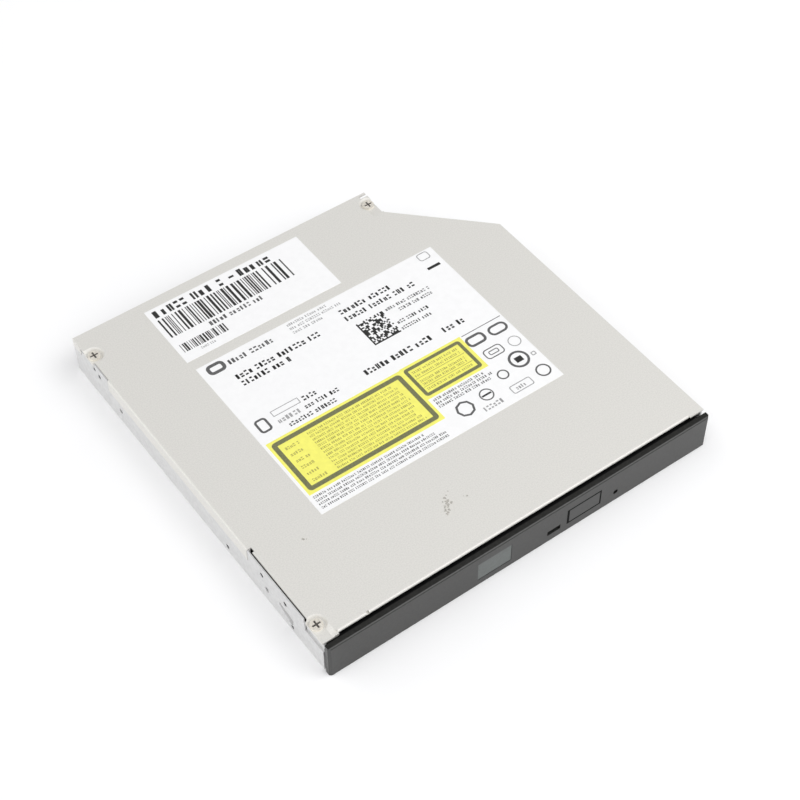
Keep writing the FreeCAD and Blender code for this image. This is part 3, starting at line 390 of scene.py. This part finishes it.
# The order of the rows is the order of the random draws.
black = []
grey = []
pale = []
PRINT = (
    # Small label at the rear left
    (black, words, (23.4, 47.5, 123.7, 2.9)),
    (black, single, (49.2, 123.3, 50.9, 124.1)),
    (black, words, (52.4, 63.4, 123.7, 2.9)),
    (black, bars, (23.2, 58.0, 113.1, 121.3, 0.27)),
    (black, bars, (59.0, 65.8, 113.1, 121.3, 0.42)),
    (grey, words, (34.9, 53.6, 111.3, 1.7, NARROW)),
    (black, bars, (23.3, 38.5, 106.0, 109.4, 0.2)),
    (pale, words, (28.0, 33.4, 104.8, 0.8)),
    # Large label, upper half
    (grey, outline, (24.4, 93.8, 30.2, 97.8, 1.1, 1.6)),
    (grey, words, (31.2, 46.6, 95.4, 1.8, NARROW)),
    (pale, rows, ((66.6, 70.0, 62.5), 52.4, 97.4, 1.7, 0.9)),
    (black, words, (30.0, 58.5, 89.4, 1.9, NARROW)),
    (black, words, (30.2, 47.4, 86.4, 1.9, NARROW)),
    (black, words, (67.6, 85.3, 92.5, 1.8, NARROW)),
    (black, words, (67.5, 92.9, 89.4, 1.8, NARROW)),
    (black, cells, (68.6, 76.0, 77.9, 85.9, 19)),
    (grey, words, (79.0, 95.0, 85.5, 1.1, MIDDLE)),
    (grey, words, (82.4, 94.2, 83.4, 1.1, MIDDLE)),
    (black, words, (78.9, 89.9, 79.4, 1.2, NARROW)),
    (black, words, (78.6, 89.7, 76.8, 1.2, NARROW)),
    (black, words, (60.1, 84.0, 69.2, 2.0, NARROW)),
    (black, words, (87.6, 95.9, 69.2, 2.0, NARROW)),
    (pale, outline, (99.0, 95.1, 102.9, 98.2, 0.3, 0.9)),
    (black, single, (98.8, 91.0, 103.3, 92.0)),
    # Large label, lower half
    (grey, single, (90.4, 63.9, 104.4, 64.15)),
    (pale, outline, (30.5, 71.0, 39.6, 73.2, 0.25, 0.2)),
    (black, words, (40.6, 46.0, 71.8, 1.7, NARROW)),
    (pale, words, (30.6, 38.0, 68.9, 1.6)),
    (black, words, (39.5, 51.5, 68.9, 1.4, NARROW)),
    (black, words, (32.5, 48.7, 66.1, 1.4, NARROW)),
    (grey, outline, (24.6, 67.6, 28.4, 72.8, 0.7, 1.2)),
    (grey, rows, ((60.5, 63.5, 66.0, 66.5), 23.6, 41.4, 1.36, 0.75, MIDDLE)),
    (grey, rows, ((87.4, 89.4, 88.2), 69.6, 49.6, 1.4, 0.9, MIDDLE)),
    # Plain rings and frames at its right end
    (grey, outline, (89.9, 58.7, 96.3, 62.8, 0.85, 1.6)),
    (grey, outline, (97.6, 58.5, 104.0, 62.4, 0.75, 1.9)),
    (grey, outline, (91.3, 52.2, 97.6, 56.0, 0.35, 1.2)),
    (grey, outline, (92.8, 53.3, 96.1, 54.9, 0.3, 0.5)),
    (pale, ring, (101.7, 53.8, 2.0, 0.3)),
    (grey, ring, (98.4, 47.6, 3.2, 0.75)),
    (black, single, (97.2, 46.6, 99.6, 48.6)),
    (pale, outline, (102.4, 46.2, 103.9, 47.6, 0.3, 0.3)),
    (grey, ring, (91.2, 45.7, 1.8, 0.45)),
    (grey, ring, (82.9, 42.6, 2.2, 0.4)),
    (black, single, (81.3, 42.3, 84.5, 42.9)),
    (grey, ring, (75.0, 42.0, 2.9, 0.7, 8)),
    (grey, ring, (101.4, 40.3, 2.3, 0.5)),
    (pale, outline, (89.3, 37.9, 96.6, 41.0, 0.3, 0.7)),
    (pale, words, (91.0, 95.0, 39.4, 1.3, NARROW)),
    (pale, words, (79.0, 86.2, 38.5, 1.6, NARROW)),
)
for ink, form, measures in PRINT:
    ink.extend(form(*measures))

# Framed yellow fields. Each long row draws its end just before its words.
FRAME_LIFT = 0.02
ROW_LIFT = 0.03
frames = outline(24.1, 43.6, 67.6, 63.2, 1.45, 1.2, FRAME_LIFT)
frames += outline(69.0, 51.7, 88.8, 63.5, 1.1, 1.0, FRAME_LIFT)
thin = rows((31.4,) * 6, 26.8, 59.6, 2.64, 1.0, 0.6)
thin += rows((rng.choice((64.4, 63.0, 64.8)) for _ in range(12)), 34.6, 60.6, 1.33, 0.72, MIDDLE)
for y in (61.2, 59.7, 57.3, 56.0, 53.9):
    thin += words(70.8, 86.8, y, 0.8, MIDDLE)
thin = [[point + Vector((0, 0, ROW_LIFT * MM)) for point in shape] for shape in thin]
for y in (58.6, 54.9):
    thin.append(block(70.4, y, 87.4, y + 0.18, ROW_LIFT))
flat_piece("label_ink_black", black, ink_look, "chassis")
flat_piece("label_ink_grey", grey, grey_ink_look, "chassis")
flat_piece("label_ink_pale", pale, pale_ink_look, "chassis")
flat_piece("label_frames", frames, olive_ink_look, "chassis")
flat_piece("label_field_rows", thin, thin_olive_look, "chassis")


# Pale rectangle on the bezel, and painted shade: a dark frame round the button for the shadow in its
# gap
def upright(x0, z0, x1, z1, y):
    """A flat rectangle that faces the front."""
    return [place(x0, y, z0), place(x1, y, z0), place(x1, y, z1), place(x0, y, z1)]


flat_piece("bezel_blank_patch", [upright(47.25, 2.45, 58.35, 9.25, 0.1)], patch_look, "tray")

# Painted shade: a flat dark frame just in front of the bezel face, wider than the real gap, stands
# in for the shadow round the button
GAP_SHADE_Y = -0.012
GAP_SHADE_LEFT, GAP_SHADE_LOW, GAP_SHADE_RIGHT, GAP_SHADE_TOP = 0.8, 0.48, 0.5, 0.55
BUTTON_CLEARANCE = 0.02
low, high = (Vector(corner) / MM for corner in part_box("eject_button"))
left, foot = low.x + HALF_WIDTH - BUTTON_CLEARANCE, low.z - BUTTON_CLEARANCE
right, head = high.x + HALF_WIDTH + BUTTON_CLEARANCE, high.z + BUTTON_CLEARANCE
outer_left, outer_foot = left + BUTTON_CLEARANCE - GAP_SHADE_LEFT, foot + BUTTON_CLEARANCE - GAP_SHADE_LOW
outer_right, outer_head = right - BUTTON_CLEARANCE + GAP_SHADE_RIGHT, head - BUTTON_CLEARANCE + GAP_SHADE_TOP
flat_piece("button_gap_shade", [upright(outer_left, outer_foot, outer_right, foot, GAP_SHADE_Y),
                          upright(outer_left, head, outer_right, outer_head, GAP_SHADE_Y),
                          upright(outer_left, foot, left, head, GAP_SHADE_Y),
                          upright(right, foot, outer_right, head, GAP_SHADE_Y)],
           shade_look, "tray")

# Painted shade: dark crosses in the crossed screw recesses, standing in for the shade at their
# floors
ARM_REACH = 1.22
ARM_HALF = 0.27
FLOOR_DEPTH = 0.16
for place_name in SCREW_PLACES:
    low, high = (Vector(corner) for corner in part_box("cover_screw_" + place_name))
    middle = (low + high) / 2
    cross = []
    for along, across in ((1, 0), (0, 1), (-1, 0), (0, -1)):
        for reach, side in ((ARM_REACH, -ARM_HALF), (ARM_REACH, ARM_HALF), (ARM_HALF, ARM_HALF)):
            cross.append(Vector((middle.x + (along * reach - across * side) * MM,
                                 middle.y + (across * reach + along * side) * MM,
                                 high.z - FLOOR_DEPTH * MM)))
    flat_piece("screw_recess_painted_shade_" + place_name, [cross], recess_shade_look, "chassis")

# Painted shade: dark discs inside the small holes in the left wall, for the shade seen through them:
# place along the wall, height and radius
HOLE_SHADE_X = 0.22
HOLE_SIDES = 16
LEFT_HOLES = ((117.9, 10.4, 0.66), (115.3, 9.4, 0.74), (48.4, 2.2, 0.74), (31.0, 9.1, 0.74),
              (20.1, 8.8, 0.74), (17.2, 1.7, 0.66))
shades = []
for y, z, radius in LEFT_HOLES:
    turns = [math.tau * k / HOLE_SIDES for k in range(HOLE_SIDES)]
    shades.append([place(HOLE_SHADE_X, y + radius * math.cos(turn), z + radius * math.sin(turn))
                   for turn in turns])
flat_piece("wall_hole_shade", shades, shade_look, "chassis")

# Small marks of wear on the cover: a smudge drawn out along one slant, and specks
WEAR_Z = 12.712
WEAR_STEP = 0.0005
SPOT_SIDES = 7
SLANT_X, SLANT_Y = 0.58, 0.81
rng = random.Random(11)
wear = []


def add_spot(x, y, radius):
    """A small ragged spot, a little higher than the last."""
    height = WEAR_Z + WEAR_STEP * len(wear)
    spot = []
    for k in range(SPOT_SIDES):
        turn = math.tau * k / SPOT_SIDES
        reach = radius * rng.uniform(0.6, 1.25)
        spot.append(place(x + reach * math.cos(turn), y + reach * math.sin(turn), height))
    wear.append(spot)


for _ in range(34):
    along = rng.gauss(0.0, 1.9)
    across = rng.gauss(0.0, 0.55)
    add_spot(50.8 + SLANT_X * along + SLANT_Y * across, 18.4 + SLANT_Y * along - SLANT_X * across,
             rng.uniform(0.12, 0.42))
for x, y, radius in ((13.9, 31.9, 0.4), (14.6, 31.4, 0.2), (57.0, 17.8, 0.3), (56.2, 18.3, 0.15)):
    add_spot(x, y, radius)
flat_piece("cover_wear", wear, smudge_look, "chassis")

# Flat cable with one rolled bend: a path of (y, z, inward y, inward z)
SHEET = 0.15 * MM
TRAY_END_INSET = 6.0 * MM
LOWER_STEPS = 5
BEND_STEPS = 16
UPPER_STEPS = 60
low, high = (Vector(corner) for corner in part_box("flex_cable"))
bend_radius = (high.z - low.z) / 2
bend_y = low.y + bend_radius
tray_end = high.y - TRAY_END_INSET
path = []
for k in range(LOWER_STEPS):
    path.append((high.y + (bend_y - high.y) * k / LOWER_STEPS, low.z, 0.0, 1.0))
for k in range(BEND_STEPS + 1):
    turn = math.pi * k / BEND_STEPS
    path.append((bend_y - bend_radius * math.sin(turn),
                 (low.z + high.z) / 2 - bend_radius * math.cos(turn),
                 math.sin(turn), math.cos(turn)))
for k in range(1, UPPER_STEPS + 1):
    path.append((bend_y + (tray_end - bend_y) * k / UPPER_STEPS, high.z, 0.0, -1.0))
points = []
for y, z, in_y, in_z in path:
    for x, inward in ((low.x, 0.0), (high.x, 0.0), (high.x, SHEET), (low.x, SHEET)):
        points.append((x, y + in_y * inward, z + in_z * inward))
faces = [(0, 1, 2, 3), tuple(range(len(points) - 1, len(points) - 5, -1))]
for k in range(len(path) - 1):
    for side in range(4):
        other = (side + 1) % 4
        faces.append((4 * k + side, 4 * k + 4 + side, 4 * k + 4 + other, 4 * k + other))
flex = linked("flex_ribbon", points, faces, flex_look)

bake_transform(flex)
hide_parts("flex_cable")

# Camera where the photograph was taken from
AZIMUTH = math.radians(-35.59)
ELEVATION = math.radians(49.83)
ROLL = math.radians(-0.61)
STAND = place(-121.695, -201.695, 387.158)
back = Vector((math.sin(AZIMUTH) * math.cos(ELEVATION),
               -math.cos(AZIMUTH) * math.cos(ELEVATION), math.sin(ELEVATION)))
level = (-back).cross(Vector((0, 0, 1))).normalized()
upward = level.cross(-back)
rightward = level * math.cos(ROLL) + upward * math.sin(ROLL)
upward = upward * math.cos(ROLL) - level * math.sin(ROLL)
camera_data = bpy.data.cameras.new("camera")
camera_data.sensor_width = 36.0
camera_data.lens = 79.13
camera_data.clip_start = 0.01
camera = bpy.data.objects.new("camera", camera_data)
camera.matrix_world = Matrix((
    (rightward.x, upward.x, back.x, STAND.x),
    (rightward.y, upward.y, back.y, STAND.y),
    (rightward.z, upward.z, back.z, STAND.z),
    (0, 0, 0, 1)))
bpy.context.scene.collection.objects.link(camera)
bpy.context.scene.camera = camera

# Pale floor and soft studio light
FLOOR_HALF = 4.0
floor_look = Look("floor", (0.93, 0.93, 0.93), 0.9)
floor_look.mottle(30.0, 0.004)
floor_corners = [(-FLOOR_HALF, -FLOOR_HALF, 0), (FLOOR_HALF, -FLOOR_HALF, 0),
                 (FLOOR_HALF, FLOOR_HALF, 0), (-FLOOR_HALF, FLOOR_HALF, 0)]
floor = linked("floor", floor_corners, [(0, 1, 2, 3)], floor_look)

# A sky that is bright all round but for a dark patch in one direction
DARK_SIDE = (0.375, 0.525, 0.764)
world = bpy.data.worlds.new("studio")
world.use_nodes = True
sky = world.node_tree
sky_coords = sky.nodes.new("ShaderNodeTexCoord")
sky_side = sky.nodes.new("ShaderNodeVectorMath")
sky_side.operation = "DOT_PRODUCT"
sky_side.inputs[1].default_value = DARK_SIDE
sky_ramp = sky.nodes.new("ShaderNodeValToRGB")
sky_ramp.color_ramp.elements[0].position = 0.76
sky_ramp.color_ramp.elements[0].color = (0.99, 0.99, 1.0, 1.0)
sky_ramp.color_ramp.elements[1].position = 0.92
sky_ramp.color_ramp.elements[1].color = (0.04, 0.04, 0.04, 1.0)
sky.links.new(sky_coords.outputs["Generated"], sky_side.inputs[0])
sky.links.new(sky_side.outputs["Value"], sky_ramp.inputs["Fac"])
sky.links.new(sky_ramp.outputs["Color"], sky.nodes["Background"].inputs["Color"])
sky.nodes["Background"].inputs["Strength"].default_value = 1.22
bpy.context.scene.world = world
bpy.context.scene.view_settings.view_transform = "Standard"

key_data = bpy.data.lights.new("key", "AREA")
key_data.size = 0.45
key_data.energy = 1.3
key = bpy.data.objects.new("key", key_data)
key.location = (0.26, -0.26, 0.60)
key.rotation_euler = (-key.location).to_track_quat("-Z", "Y").to_euler()
bpy.context.scene.collection.objects.link(key)
